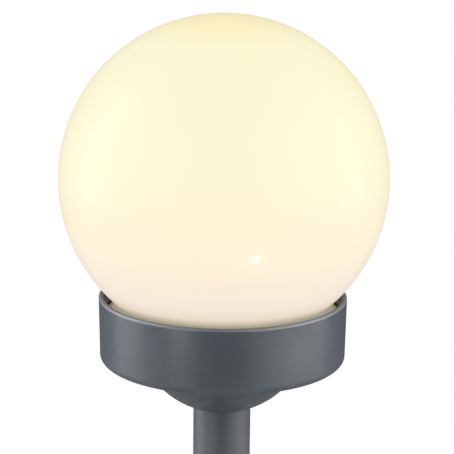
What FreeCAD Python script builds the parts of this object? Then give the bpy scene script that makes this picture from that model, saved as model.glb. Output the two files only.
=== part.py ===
"""Solar garden globe light on a ground spike.

The opal globe plugs over a raised seat in a dark collar. The seat carries two solar panels and three
lamps that light the globe from below; the board and the battery hang under it. A bowl below the
collar takes the top of the post, and the post stands over the spigot of a spike pushed into soil.

Frame: millimetres, +Z up, origin on the post's axis at ground level, which is the underside of the
spike's disc. The front is towards -Y and the switch is at the back, under the collar.
"""
import FreeCAD
import Part
import Sketcher
import math
import os

DIMENSIONS = {
    # globe
    "globe_diameter": 150.0,
    "globe_wall": 1.8,
    "globe_height": 260.0,
    "neck_radius": 42.0,
    "neck_drop": 73.6,
    "skirt_radius": 50.5,
    "skirt_drop": 60.3,
    "skirt_root_fillet": 0.8,
    # collar
    "rim_drop": 54.2,
    "collar_height": 31.2,
    "collar_top_radius": 57.0,
    "collar_bottom_radius": 56.4,
    "collar_wall": 2.4,
    "collar_edge_fillet": 3.6,
    "collar_rim_fillet": 1.15,
    "collar_floor_hole": 37.7,
    "ledge_radius": 51.3,
    "ledge_drop": 14.3,
    "ledge_thick": 2.0,
    "deck_boss_circle": 47.9,
    "deck_boss_radius": 3.1,
    "pilot_radius": 1.15,
    "pilot_depth": 10.0,
    "clear_hole_radius": 1.6,
    # bowl under the collar
    "bowl_radius": 40.8,
    "bowl_centre_drop": 68.6,
    "bowl_wall": 2.0,
    "bowl_spigot_radius": 37.4,
    "bowl_flange_radius": 44.3,
    "bowl_flange_thick": 2.0,
    "bowl_rib_thick": 1.6,
    "bowl_screw_circle": 41.1,
    "bowl_boss_radius": 2.9,
    "bowl_boss_height": 4.2,
    "bowl_screw_angle": 22.5,
    "drain_radius": 1.5,
    "drain_circle": 21.0,
    "flange_gasket_thick": 0.8,
    # post, its bush in the bowl, and the spike
    "post_radius": 13.25,
    "post_wall": 1.5,
    "post_gap": 0.3,
    "post_top_height": 170.5,
    "bush_wall": 1.3,
    "mouth_height": 2.2,
    "bush_gap": 0.1,
    "socket_wall": 1.9,
    "socket_roof_thick": 2.0,
    "spike_disc_radius": 22.0,
    "spike_disc_thick": 3.0,
    "spigot_radius": 11.1,
    "spigot_wall": 2.0,
    "spigot_height": 34.0,
    "spigot_rib_radius": 11.67,
    "spigot_rib_width": 1.4,
    "spike_length": 135.0,
    "spike_half_width": 15.0,
    "spike_knee_half_width": 12.0,
    "spike_knee_depth": 95.0,
    "spike_fin_thick": 3.0,
    "spike_core_radius": 4.0,
    "spike_disc_chamfer": 1.2,
    "spigot_chamfer": 1.0,
    "spigot_rib_short": 3.0,
    # seat that carries the globe, the panels and the lamps
    "deck_drop": 62.5,
    "deck_thick": 2.0,
    "deck_radius": 53.5,
    "deck_skirt_depth": 5.0,
    "deck_skirt_wall": 2.0,
    "channel_outer_radius": 42.8,
    "channel_inner_radius": 39.6,
    "channel_wall": 1.6,
    "channel_depth": 11.4,
    "boss_drop": 63.0,
    "seal_section_radius": 0.7,
    "seal_groove_depth": 0.9,
    "seal_groove_width": 1.8,
    "seal_drop": 68.6,
    "gasket_thick": 1.0,
    "reflector_thick": 1.0,
    "reflector_radius": 39.3,
    "reflector_screw_offset": 34.0,
    "panel_length": 54.0,
    "panel_width": 22.0,
    "panel_thick": 2.6,
    "panel_offset": 16.5,
    "panel_corner": 2.0,
    "panel_gap": 0.2,
    "lamp_radius": 2.5,
    "lamp_flange_radius": 2.9,
    "lamp_flange_thick": 1.0,
    "lamp_height": 8.6,
    "lamp_pitch": 14.0,
    "lamp_hole_radius": 2.7,
    "lamp_drop": 66.4,
    # circuit board, battery and switch
    "board_length": 58.0,
    "board_width": 42.0,
    "board_thick": 1.6,
    "board_drop": 69.0,
    "board_screw_offset": 24.0,
    "chip_length": 10.0,
    "chip_width": 6.0,
    "chip_height": 1.8,
    "chip_x": -18.0,
    "chip_y": -18.0,
    "coil_radius": 3.2,
    "coil_height": 5.6,
    "coil_flange_radius": 4.0,
    "coil_flange_thick": 1.0,
    "coil_x": 10.0,
    "coil_y": -15.0,
    "capacitor_radius": 2.5,
    "capacitor_length": 11.0,
    "capacitor_x": -4.0,
    "capacitor_y": 15.0,
    "standoff_radius": 2.2,
    "battery_radius": 7.25,
    "battery_length": 50.5,
    "battery_nub_radius": 2.75,
    "battery_nub_length": 1.0,
    "battery_axis_drop": 78.5,
    "battery_shift": 1.0,
    "holder_half_length": 29.0,
    "holder_half_width": 9.0,
    "holder_wall": 1.4,
    "holder_side_height": 9.0,
    "holder_end_height": 15.0,
    "holder_screw_x": 9.0,
    "holder_screw_y": 5.4,
    "contact_thick": 0.4,
    "contact_half_width": 4.0,
    "contact_half_height": 5.0,
    "contact_boss_radius": 1.2,
    "contact_tab_half_width": 2.0,
    "contact_tab_height": 2.5,
    "leaf_half_width": 3.0,
    "leaf_inner_half_height": 4.4,
    "switch_circle": 48.4,
    "switch_half_length": 6.3,
    "switch_half_width": 3.2,
    "switch_height": 4.4,
    "switch_ear_length": 3.2,
    "switch_ear_thick": 2.2,
    "switch_ear_inset": 1.0,
    "switch_recess_end": 1.0,
    "switch_recess_side": 0.6,
    "switch_recess_depth": 3.0,
    "switch_screw_length": 4.2,
    "switch_slot_half_length": 3.4,
    "switch_slot_half_width": 1.7,
    "switch_knob_half_length": 1.4,
    "switch_knob_half_width": 1.4,
    "switch_knob_reach": 1.6,
    "switch_travel": 3.0,
    # fasteners and leads
    "screw_radius": 1.1,
    "screw_head_radius": 2.7,
    "screw_head_height": 1.7,
    "screw_length": 8.0,
    "small_screw_radius": 0.8,
    "small_pilot_radius": 0.83,
    "small_head_radius": 1.7,
    "small_head_height": 1.1,
    "small_screw_length": 3.2,
    "drive_slot_width": 0.7,
    "drive_slot_depth": 0.9,
    "small_drive_slot_depth": 0.63,
    "lead_radius": 0.6,
    "lead_bend": 1.7,
    "battery_lead_rise": 4.0,
    "battery_lead_reach": 34.0,
    "battery_lead_turn_x": 33.0,
    "battery_lead_turn_y": 10.0,
    "battery_lead_sag": 1.0,
    "battery_lead_x": 25.0,
    "battery_lead_y": 13.5,
    "switch_lead_x": 3.0,
    "switch_lead_rise": 1.9,
    "switch_lead_turn_y": 30.0,
    "switch_lead_climb": 3.4,
    "board_lead_inset": 1.8,
}

ALIAS_COLUMNS = ("A", "B")


class Size:
    """A length as the expression over the sheet's cells and as the number it gives."""

    def __init__(self, text, number):
        self.text = text
        self.number = number

    def joined(self, other, sign, number):
        other = as_size(other)
        return Size(f"({self.text} {sign} {other.text})", number(self.number, other.number))

    def __add__(self, other):
        return self.joined(other, "+", lambda a, b: a + b)

    def __sub__(self, other):
        return self.joined(other, "-", lambda a, b: a - b)

    def __mul__(self, other):
        return self.joined(other, "*", lambda a, b: a * b)

    def __truediv__(self, other):
        return self.joined(other, "/", lambda a, b: a / b)

    def __radd__(self, other):
        return as_size(other) + self

    def __rsub__(self, other):
        return as_size(other) - self

    def __neg__(self):
        return as_size(-1) * self


def as_size(value):
    return value if isinstance(value, Size) else Size(f"{value:g}", float(value))


def root(square):
    return Size(f"sqrt({square.text})", math.sqrt(square.number))


def size(alias):
    return Size(f"sheet.{alias}", DIMENSIONS[alias])


def fill_sheet(doc):
    sheet = doc.addObject("Spreadsheet::Sheet", "sheet")
    words, numbers = ALIAS_COLUMNS
    for row, (alias, number) in enumerate(DIMENSIONS.items(), start=1):
        sheet.set(f"{words}{row}", alias)
        sheet.set(f"{numbers}{row}", f"{number:g}")
        sheet.setAlias(f"{numbers}{row}", alias)
    doc.recompute()
    return sheet


# ---------------------------------------------------------------- building helpers

DOC = FreeCAD.newDocument("garden_globe_light")
SHEET = fill_sheet(DOC)
ZERO = as_size(0)
ORIGIN_POINT = (-1, 1)
VERTICAL_AXIS = -2
HORIZONTAL_AXIS = -1


def bind(thing, name, value):
    """Sets a property of thing from the sheet."""
    thing.setExpression(name, as_size(value).text)


def place(thing, x=0, y=0, z=0):
    for axis, value in (("x", x), ("y", y), ("z", z)):
        bind(thing, f"Placement.Base.{axis}", value)
    return thing


def turn(thing, axis, degrees):
    """Turns thing about an axis through its own origin, keeping where it is placed."""
    thing.Placement.Rotation = FreeCAD.Rotation(FreeCAD.Vector(*axis), degrees)
    return thing


def new_body(label):
    body = DOC.addObject("PartDesign::Body", label)
    body.Label = label
    return body


def origin_feature(body, role):
    return next(f for f in body.Origin.OriginFeatures if f.Role == role)


def sketch_on(body, role, name, height=0):
    """A sketch on one of the body's own origin planes, raised along its normal."""
    sketch = body.newObject("Sketcher::SketchObject", f"{body.Label}_{name}")
    sketch.AttachmentSupport = (origin_feature(body, role), [""])
    sketch.MapMode = "FlatFace"
    bind(sketch, "AttachmentOffset.Base.z", height)
    return sketch


def pin_coordinate(sketch, kind, axis, edge, end, value):
    """Fixes one coordinate of an edge's end to the sheet."""
    if value.number == 0:
        sketch.addConstraint(Sketcher.Constraint("PointOnObject", edge, end, axis))
        return
    ends = (*ORIGIN_POINT, edge, end) if value.number > 0 else (edge, end, *ORIGIN_POINT)
    length = value if value.number > 0 else -value
    index = sketch.addConstraint(Sketcher.Constraint(kind, *ends, length.number))
    sketch.setExpression(f"Constraints[{index}]", length.text)


def pin_point(sketch, edge, end, x, y):
    pin_coordinate(sketch, "DistanceX", VERTICAL_AXIS, edge, end, as_size(x))
    pin_coordinate(sketch, "DistanceY", HORIZONTAL_AXIS, edge, end, as_size(y))


def arc_between(start, end, radius, centre_hint):
    """The short arc of that radius from start to end whose centre is the nearer to the hint."""
    chord = end - start
    middle = (start + end) * 0.5
    side = FreeCAD.Vector(-chord.y, chord.x, 0).normalize()
    reach = math.sqrt(max(radius**2 - (chord.Length / 2) ** 2, 0))
    centre = min((middle + side * reach, middle - side * reach), key=lambda c: (c - centre_hint).Length)
    bulge = centre + (middle - centre).normalize() * radius
    return Part.Arc(start, bulge, end)


def outline(sketch, points):
    """A closed outline. A point is (x, y), or (x, y, radius, centre_x, centre_y) where an arc ends."""
    spots = [FreeCAD.Vector(as_size(p[0]).number, as_size(p[1]).number, 0) for p in points]
    edges = []
    for i, point in enumerate(points):
        start, end = spots[i - 1], spots[i]
        if len(point) == 2:
            shape = Part.LineSegment(start, end)
        else:
            hint = FreeCAD.Vector(as_size(point[3]).number, as_size(point[4]).number, 0)
            shape = arc_between(start, end, as_size(point[2]).number, hint)
        edges.append(sketch.addGeometry(shape, False))
    ends = []
    for edge, point, spot in zip(edges, points, spots):
        near = [(sketch.getPoint(edge, e) - spot).Length for e in (1, 2)]
        last = 1 if near[0] < near[1] else 2
        ends.append((3 - last, last))
    for i, edge in enumerate(edges):
        follower = (i + 1) % len(edges)
        joint = (edge, ends[i][1], edges[follower], ends[follower][0])
        sketch.addConstraint(Sketcher.Constraint("Coincident", *joint))
        pin_point(sketch, edge, ends[i][1], points[i][0], points[i][1])
        if len(points[i]) > 2:
            radius = as_size(points[i][2])
            index = sketch.addConstraint(Sketcher.Constraint("Radius", edge, radius.number))
            sketch.setExpression(f"Constraints[{index}]", radius.text)
    return sketch


def circle(sketch, x, y, radius):
    x, y, radius = as_size(x), as_size(y), as_size(radius)
    centre = FreeCAD.Vector(x.number, y.number, 0)
    edge = sketch.addGeometry(Part.Circle(centre, FreeCAD.Vector(0, 0, 1), radius.number), False)
    pin_point(sketch, edge, 3, x, y)
    index = sketch.addConstraint(Sketcher.Constraint("Radius", edge, radius.number))
    sketch.setExpression(f"Constraints[{index}]", radius.text)
    return sketch


def rectangle(sketch, low_x, low_y, high_x, high_y):
    return outline(sketch, [(low_x, low_y), (high_x, low_y), (high_x, high_y), (low_x, high_y)])


def revolution(body, sketch):
    feature = body.newObject("PartDesign::Revolution", f"{body.Label}_turned")
    feature.Profile = sketch
    feature.ReferenceAxis = (sketch, ["V_Axis"])
    feature.Angle = 360
    return feature


def pad(body, sketch, length, midplane=False, downwards=False):
    feature = body.newObject("PartDesign::Pad", f"{sketch.Label}_pad")
    feature.Profile = sketch
    feature.Midplane = midplane
    feature.Reversed = downwards
    bind(feature, "Length", length)
    return feature


def pocket(body, sketch, depth, upwards=False):
    """Cuts the sketch into the body, down unless upwards is set, and makes sure that it cuts something."""
    DOC.recompute()
    before = body.Shape.Volume
    feature = body.newObject("PartDesign::Pocket", f"{sketch.Label}_pocket")
    feature.Profile = sketch
    feature.Reversed = upwards
    bind(feature, "Length", depth)
    DOC.recompute()
    if not feature.Shape.Volume < before - 1e-3:
        raise RuntimeError(f"{feature.Label} cuts nothing")
    return feature


def around(body, feature, count):
    """Repeats a feature evenly round the body's own Z axis."""
    pattern = body.newObject("PartDesign::PolarPattern", f"{feature.Label}_round")
    pattern.Originals = [feature]
    pattern.Axis = (origin_feature(body, "Z_Axis"), [""])
    pattern.Angle = 360
    pattern.Occurrences = count
    body.Tip = pattern
    DOC.recompute()
    return pattern


def rounded(body, feature, radius, chosen, kind="Fillet"):
    """Rounds or chamfers the feature's edges that chosen picks."""
    DOC.recompute()
    edges = enumerate(feature.Shape.Edges, start=1)
    names = [f"Edge{i}" for i, edge in edges if not edge.Degenerated and chosen(edge)]
    if not names:
        raise RuntimeError(f"no edge of {feature.Label} to round")
    finish = body.newObject(f"PartDesign::{kind}", f"{feature.Label}_{kind.lower()}")
    finish.Base = (feature, names)
    bind(finish, "Radius" if kind == "Fillet" else "Size", radius)
    return finish


def ring_edge(radius, height):
    """Picks the full circle of that radius about the Z axis at that height."""
    radius, height = as_size(radius).number, as_size(height).number

    def chosen(edge):
        curve = edge.Curve
        if not isinstance(curve, Part.Circle):
            return False
        level = abs(curve.Center.z - height) < 1e-3 and abs(curve.Radius - radius) < 1e-3
        return level and math.hypot(curve.Center.x, curve.Center.y) < 1e-3

    return chosen


def upright_edge(edge):
    return abs(edge.tangentAt(edge.FirstParameter).z) > 0.99


def cylinder(name, radius, height, x=0, y=0, z=0):
    shape = DOC.addObject("Part::Cylinder", name)
    bind(shape, "Radius", radius)
    bind(shape, "Height", height)
    return place(shape, x, y, z)


def block(name, low, high):
    """A box between two corners."""
    shape = DOC.addObject("Part::Box", name)
    low, high = [as_size(v) for v in low], [as_size(v) for v in high]
    for side, a, b in zip(("Length", "Width", "Height"), low, high):
        bind(shape, side, b - a)
    return place(shape, *low)


def cut(name, base, tools):
    shape = DOC.addObject("Part::Cut", name)
    shape.Base = base
    shape.Tool = tools[0] if len(tools) == 1 else fuse(f"{name}_tools", tools)
    return shape


def fuse(name, parts):
    shape = DOC.addObject("Part::MultiFuse", name)
    shape.Shapes = parts
    return shape


def group(label, members):
    shape = DOC.addObject("Part::Compound", label)
    shape.Label = label
    shape.Links = members
    return shape


def on_circle(radius, count, first=0.0):
    """Places evenly spaced on a circle about the Z axis, first at that angle in degrees."""
    turns = [math.radians(first + 360 * i / count) for i in range(count)]
    return [(as_size(radius) * math.cos(a), as_size(radius) * math.sin(a)) for a in turns]


# ---------------------------------------------------------------- heights shared by the pieces

GLOBE_RADIUS = size("globe_diameter") / 2
CENTRE = size("globe_height")
RIM = CENTRE - size("rim_drop")
UNDERSIDE = RIM - size("collar_height")
FLOOR = UNDERSIDE + size("collar_wall")
DECK = CENTRE - size("deck_drop")
DECK_UNDER = DECK - size("deck_thick")
BOSS_TOP = CENTRE - size("boss_drop")
LEDGE = RIM - size("ledge_drop")
BOWL_CENTRE = CENTRE - size("bowl_centre_drop")
FLANGE = FLOOR + size("flange_gasket_thick")
FLANGE_TOP = FLANGE + size("bowl_flange_thick")
BUSH_RADIUS = size("post_radius") + size("bush_gap") + size("bush_wall")
SOCKET_RADIUS = BUSH_RADIUS + size("bush_gap")
MOUTH_RADIUS = size("post_radius") + size("bush_gap")
MOUTH = BOWL_CENTRE - root(size("bowl_radius") * size("bowl_radius") - MOUTH_RADIUS * MOUTH_RADIUS)
BUSH_FOOT = MOUTH + size("mouth_height")
SOCKET_OUTER = SOCKET_RADIUS + size("socket_wall")
SOCKET_CEILING = size("post_top_height") + size("post_gap")
SOCKET_ROOF = SOCKET_CEILING + size("socket_roof_thick")
BOARD_TOP = CENTRE - size("board_drop") + size("board_thick")
DECK_SCREW_ANGLE = 45.0
SCREW_COUNT = 4
SPIGOT_RIB_COUNT = 6
HEAD_TAPER = 0.7
DRIVE_SLOT_SHARE = 0.6
LEAF_SLANT = 1.2


# ---------------------------------------------------------------- globe

def make_globe():
    """Opal sphere with one wall thickness all over: a wide skirt, then a narrower neck for the seat."""
    body = new_body("globe")
    wall = size("globe_wall")
    inner = GLOBE_RADIUS - wall
    neck, neck_inner = size("neck_radius"), size("neck_radius") - wall
    skirt, skirt_inner = size("skirt_radius"), size("skirt_radius") - wall
    shoulder = CENTRE - root(GLOBE_RADIUS * GLOBE_RADIUS - skirt * skirt)
    inner_shoulder = CENTRE - root(inner * inner - skirt_inner * skirt_inner)
    step = CENTRE - size("skirt_drop")
    foot = CENTRE - size("neck_drop")
    sketch = sketch_on(body, "XZ_Plane", "section")
    outline(sketch, [
        (neck_inner, foot),
        (neck, foot),
        (neck, step),
        (skirt, step),
        (skirt, shoulder),
        (GLOBE_RADIUS, CENTRE, GLOBE_RADIUS, 0, CENTRE),
        (0, CENTRE + GLOBE_RADIUS, GLOBE_RADIUS, 0, CENTRE),
        (0, CENTRE + inner),
        (inner, CENTRE, inner, 0, CENTRE),
        (skirt_inner, inner_shoulder, inner, 0, CENTRE),
        (skirt_inner, step + wall),
        (neck_inner, step + wall),
    ])
    turned = revolution(body, sketch)
    rounded(body, turned, size("skirt_root_fillet"), ring_edge(skirt, shoulder))
    return body


# ---------------------------------------------------------------- collar and bowl

def make_collar():
    """Cup with a slight draft, a floor with a round hole, a ledge for the seat and four tall bosses."""
    body = new_body("collar_cup")
    wall, height = size("collar_wall"), size("collar_height")
    top, bottom = size("collar_top_radius"), size("collar_bottom_radius")
    draft = (top - bottom) / height

    def inner(level):
        return bottom - wall + draft * (level - UNDERSIDE)

    ledge_foot = LEDGE - size("ledge_thick")
    sketch = sketch_on(body, "XZ_Plane", "section")
    outline(sketch, [
        (size("collar_floor_hole"), UNDERSIDE),
        (bottom, UNDERSIDE),
        (top, RIM),
        (inner(RIM), RIM),
        (inner(LEDGE), LEDGE),
        (size("ledge_radius"), LEDGE),
        (size("ledge_radius"), ledge_foot),
        (inner(ledge_foot), ledge_foot),
        (inner(FLOOR), FLOOR),
        (size("collar_floor_hole"), FLOOR),
    ])
    turned = revolution(body, sketch)
    edge = rounded(body, turned, size("collar_edge_fillet"), ring_edge(bottom, UNDERSIDE))
    rounded(body, edge, size("collar_rim_fillet"),
            lambda e: ring_edge(top, RIM)(e) or ring_edge(inner(RIM), RIM)(e))
    boss_sketch = sketch_on(body, "XY_Plane", "boss", FLOOR)
    x, y = on_circle(size("deck_boss_circle"), 1, DECK_SCREW_ANGLE)[0]
    circle(boss_sketch, x, y, size("deck_boss_radius"))
    boss = pad(body, boss_sketch, DECK_UNDER - FLOOR)
    around(body, boss, SCREW_COUNT)
    pilot_sketch = sketch_on(body, "XY_Plane", "pilot", DECK_UNDER)
    circle(pilot_sketch, x, y, size("pilot_radius"))
    around(body, pocket(body, pilot_sketch, size("pilot_depth")), SCREW_COUNT)
    hole_sketch = sketch_on(body, "XY_Plane", "screw_hole", FLOOR)
    x, y = on_circle(size("bowl_screw_circle"), 1, DIMENSIONS["bowl_screw_angle"])[0]
    circle(hole_sketch, x, y, size("clear_hole_radius"))
    around(body, pocket(body, hole_sketch, wall), SCREW_COUNT)
    slot_sketch = sketch_on(body, "XY_Plane", "switch_slot", FLOOR)
    half_x, half_y = size("switch_slot_half_length"), size("switch_slot_half_width")
    reach = size("switch_circle")
    rectangle(slot_sketch, -half_x, reach - half_y, half_x, reach + half_y)
    pocket(body, slot_sketch, wall)
    ear_sketch = sketch_on(body, "XY_Plane", "switch_screw_holes", FLOOR)
    for side in (-1, 1):
        circle(ear_sketch, switch_screw_x(side), reach, size("small_screw_radius") + size("bush_gap"))
    body.Tip = pocket(body, ear_sketch, wall)
    return body


def make_bowl():
    """Spherical bowl with the post's socket in its middle, a flange inside the collar and short bosses."""
    body = new_body("socket_bowl")
    outer, wall = size("bowl_radius"), size("bowl_wall")
    inner = outer - wall
    spigot, spigot_inner = size("bowl_spigot_radius"), size("bowl_spigot_radius") - wall

    def level(sphere, radius):
        return BOWL_CENTRE - root(sphere * sphere - radius * radius)

    sketch = sketch_on(body, "XZ_Plane", "section")
    outline(sketch, [
        (MOUTH_RADIUS, MOUTH),
        (spigot, level(outer, spigot), outer, 0, BOWL_CENTRE),
        (spigot, FLANGE),
        (size("bowl_flange_radius"), FLANGE),
        (size("bowl_flange_radius"), FLANGE_TOP),
        (spigot_inner, FLANGE_TOP),
        (spigot_inner, level(inner, spigot_inner)),
        (SOCKET_OUTER, level(inner, SOCKET_OUTER), inner, 0, BOWL_CENTRE),
        (SOCKET_OUTER, SOCKET_ROOF),
        (0, SOCKET_ROOF),
        (0, SOCKET_CEILING),
        (SOCKET_RADIUS, SOCKET_CEILING),
        (SOCKET_RADIUS, BUSH_FOOT),
        (MOUTH_RADIUS, BUSH_FOOT),
    ])
    revolution(body, sketch)
    rib_sketch = sketch_on(body, "XZ_Plane", "rib")
    middle, root_r, rib_top = outer - wall / 2, SOCKET_OUTER - size("socket_wall") / 2, SOCKET_CEILING
    reach = root(middle * middle - (BOWL_CENTRE - rib_top) * (BOWL_CENTRE - rib_top))
    outline(rib_sketch, [
        (root_r, level(middle, root_r)),
        (reach, rib_top, middle, 0, BOWL_CENTRE),
        (root_r, rib_top),
    ])
    rib = pad(body, rib_sketch, size("bowl_rib_thick"), midplane=True)
    around(body, rib, SCREW_COUNT)
    boss_sketch = sketch_on(body, "XY_Plane", "boss", FLANGE_TOP)
    x, y = on_circle(size("bowl_screw_circle"), 1, DIMENSIONS["bowl_screw_angle"])[0]
    circle(boss_sketch, x, y, size("bowl_boss_radius"))
    around(body, pad(body, boss_sketch, size("bowl_boss_height")), SCREW_COUNT)
    pilot_sketch = sketch_on(body, "XY_Plane", "pilot", FLANGE)
    circle(pilot_sketch, x, y, size("pilot_radius"))
    depth = size("bowl_flange_thick") + size("bowl_boss_height") - wall / 2
    around(body, pocket(body, pilot_sketch, depth, upwards=True), SCREW_COUNT)
    drain_sketch = sketch_on(body, "XY_Plane", "drain", BOWL_CENTRE - inner / 2)
    for x, y in on_circle(size("drain_circle"), 2, DECK_SCREW_ANGLE):
        circle(drain_sketch, x, y, size("drain_radius"))
    pocket(body, drain_sketch, outer / 2)
    holder_sketch = sketch_on(body, "XY_Plane", "holder_pilots", SOCKET_ROOF)
    for side in (-1, 1):
        circle(holder_sketch, *holder_screw_spot(side), size("small_pilot_radius"))
    body.Tip = pocket(body, holder_sketch, size("socket_roof_thick"))
    return body


def make_flange_gasket():
    body = new_body("bowl_gasket")
    sketch = sketch_on(body, "XY_Plane", "ring", FLOOR)
    circle(sketch, 0, 0, size("bowl_flange_radius") - size("bush_gap"))
    circle(sketch, 0, 0, size("collar_floor_hole") + size("bush_gap"))
    for x, y in on_circle(size("bowl_screw_circle"), SCREW_COUNT, DIMENSIONS["bowl_screw_angle"]):
        circle(sketch, x, y, size("clear_hole_radius"))
    pad(body, sketch, size("flange_gasket_thick"))
    return body


# ---------------------------------------------------------------- seat for the globe

def make_deck():
    """Round seat: a deck with a skirt, a channel for the globe's neck and a raised boss for the panels."""
    body = new_body("globe_seat")
    skirt_inner = size("deck_radius") - size("deck_skirt_wall")
    channel_out, channel_in = size("channel_outer_radius"), size("channel_inner_radius")
    wall = size("channel_wall")
    floor = DECK - size("channel_depth")
    groove_r = channel_in - size("seal_groove_depth")
    groove_mid, groove_half = CENTRE - size("seal_drop"), size("seal_groove_width") / 2
    skirt_foot = DECK - size("deck_skirt_depth")
    sketch = sketch_on(body, "XZ_Plane", "section")
    outline(sketch, [
        (0, BOSS_TOP - size("deck_thick")),
        (groove_r - wall, BOSS_TOP - size("deck_thick")),
        (groove_r - wall, floor - wall),
        (channel_out + wall, floor - wall),
        (channel_out + wall, DECK_UNDER),
        (skirt_inner, DECK_UNDER),
        (skirt_inner, skirt_foot),
        (size("deck_radius"), skirt_foot),
        (size("deck_radius"), DECK),
        (channel_out, DECK),
        (channel_out, floor),
        (channel_in, floor),
        (channel_in, groove_mid - groove_half),
        (groove_r, groove_mid - groove_half),
        (groove_r, groove_mid + groove_half),
        (channel_in, groove_mid + groove_half),
        (channel_in, BOSS_TOP),
        (0, BOSS_TOP),
    ])
    revolution(body, sketch)
    hole_sketch = sketch_on(body, "XY_Plane", "screw_hole", DECK)
    x, y = on_circle(size("deck_boss_circle"), 1, DECK_SCREW_ANGLE)[0]
    circle(hole_sketch, x, y, size("clear_hole_radius"))
    around(body, pocket(body, hole_sketch, size("deck_thick")), SCREW_COUNT)
    stand_sketch = sketch_on(body, "XY_Plane", "standoff", BOARD_TOP)
    pilot_sketch = sketch_on(body, "XY_Plane", "board_pilot", BOARD_TOP)
    for side in (-1, 1):
        circle(stand_sketch, size("board_screw_offset") * side, 0, size("standoff_radius"))
        circle(pilot_sketch, size("board_screw_offset") * side, 0, size("small_pilot_radius"))
    pad(body, stand_sketch, BOSS_TOP - size("deck_thick") - BOARD_TOP)
    pocket(body, pilot_sketch, size("small_screw_length"), upwards=True)
    top_sketch = sketch_on(body, "XY_Plane", "top_holes", BOSS_TOP)
    for step in (-1, 0, 1):
        circle(top_sketch, size("lamp_pitch") * step, 0, size("lamp_hole_radius"))
    for side in (-1, 1):
        circle(top_sketch, size("reflector_screw_offset") * side, 0, size("small_pilot_radius"))
        for row in (-1, 1):
            circle(top_sketch, panel_lead_x(side), size("panel_offset") * row, size("lead_radius") * 2)
    body.Tip = pocket(body, top_sketch, size("deck_thick"))
    return body


def make_ring(label, foot, inner, outer, thick):
    body = new_body(label)
    sketch = sketch_on(body, "XY_Plane", "ring", foot)
    circle(sketch, 0, 0, outer)
    circle(sketch, 0, 0, inner)
    pad(body, sketch, thick)
    return body


def make_neck_seal():
    """Rubber ring in the seat's groove, which grips the inside of the globe's neck."""
    ring = DOC.addObject("Part::Torus", "neck_seal")
    ring.Label = "neck_seal"
    groove_r = size("channel_inner_radius") - size("seal_groove_depth")
    neck_inner = size("neck_radius") - size("globe_wall")
    bind(ring, "Radius1", (groove_r + neck_inner) / 2)
    bind(ring, "Radius2", size("seal_section_radius"))
    return place(ring, 0, 0, CENTRE - size("seal_drop"))


def make_reflector():
    """White disc on the boss, with windows for the panels and round holes for lamps and screws."""
    body = new_body("reflector_plate")
    sketch = sketch_on(body, "XY_Plane", "plate", BOSS_TOP)
    circle(sketch, 0, 0, size("reflector_radius"))
    half_x = size("panel_length") / 2 + size("panel_gap")
    half_y = size("panel_width") / 2 + size("panel_gap")
    screw_hole = size("small_screw_radius") + size("bush_gap")
    for side in (-1, 1):
        middle = size("panel_offset") * side
        rectangle(sketch, -half_x, middle - half_y, half_x, middle + half_y)
        circle(sketch, size("reflector_screw_offset") * side, 0, screw_hole)
    for step in (-1, 0, 1):
        circle(sketch, size("lamp_pitch") * step, 0, size("lamp_hole_radius"))
    pad(body, sketch, size("reflector_thick"))
    return body


def make_panel(label, side):
    """Resin-coated solar panel with rounded corners."""
    body = new_body(label)
    sketch = sketch_on(body, "XY_Plane", "plate")
    half_x, half_y = size("panel_length") / 2, size("panel_width") / 2
    rectangle(sketch, -half_x, -half_y, half_x, half_y)
    plate = pad(body, sketch, size("panel_thick"))
    upright = rounded(body, plate, size("panel_corner"), upright_edge)
    thick = DIMENSIONS["panel_thick"]
    rounded(body, upright, size("panel_corner") / 4,
            lambda e: all(abs(v.Point.z - thick) < 1e-6 for v in e.Vertexes))
    return place(body, 0, size("panel_offset") * side, BOSS_TOP)


def make_lamp(label, step):
    """Lamp of clear resin: a round flange, a straight barrel and a domed top."""
    body = new_body(label)
    radius, flange, height = size("lamp_radius"), size("lamp_flange_radius"), size("lamp_height")
    sketch = sketch_on(body, "XZ_Plane", "section")
    outline(sketch, [
        (0, 0),
        (flange, 0),
        (flange, size("lamp_flange_thick")),
        (radius, size("lamp_flange_thick")),
        (radius, height - radius),
        (0, height, radius, 0, height - radius),
    ])
    revolution(body, sketch)
    return place(body, size("lamp_pitch") * step, 0, CENTRE - size("lamp_drop"))


def make_lamp_legs():
    """Two square legs under each lamp, soldered into the board."""
    half, spread = size("contact_thick") / 2, size("lead_radius") * 2
    foot = BOARD_TOP - size("board_thick") - half
    legs = []
    for step in (-1, 0, 1):
        for side in (-1, 1):
            x = size("lamp_pitch") * step + spread * side
            legs.append(block(f"leg_{step + 1}_{side + 1}", (x - half, -half, foot),
                              (x + half, half, CENTRE - size("lamp_drop"))))
    return group("lamp_legs", legs)


# ---------------------------------------------------------------- board, battery and switch

def panel_lead_x(side):
    return size("panel_length") / 4 * side


def holder_screw_spot(side):
    return size("holder_screw_x") * side, size("holder_screw_y") * side


def switch_screw_x(side):
    return (size("switch_half_length") + size("switch_ear_length") / 2) * side


def make_board():
    body = new_body("circuit_board")
    sketch = sketch_on(body, "XY_Plane", "plate", BOARD_TOP)
    half_x, half_y = size("board_length") / 2, size("board_width") / 2
    rectangle(sketch, -half_x, -half_y, half_x, half_y)
    spread, half = size("lead_radius") * 2, size("contact_thick") / 2
    for step in (-1, 0, 1):
        for side in (-1, 1):
            x = size("lamp_pitch") * step + spread * side
            rectangle(sketch, x - half, -half, x + half, half)
    for side in (-1, 1):
        circle(sketch, size("board_screw_offset") * side, 0, size("small_screw_radius") + size("bush_gap"))
    plate = pad(body, sketch, size("board_thick"), downwards=True)
    outside = half_y.number / 2
    body.Tip = rounded(body, plate, size("panel_corner"),
                       lambda e: upright_edge(e) and abs(e.Vertexes[0].Point.y) > outside)
    return body


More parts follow.
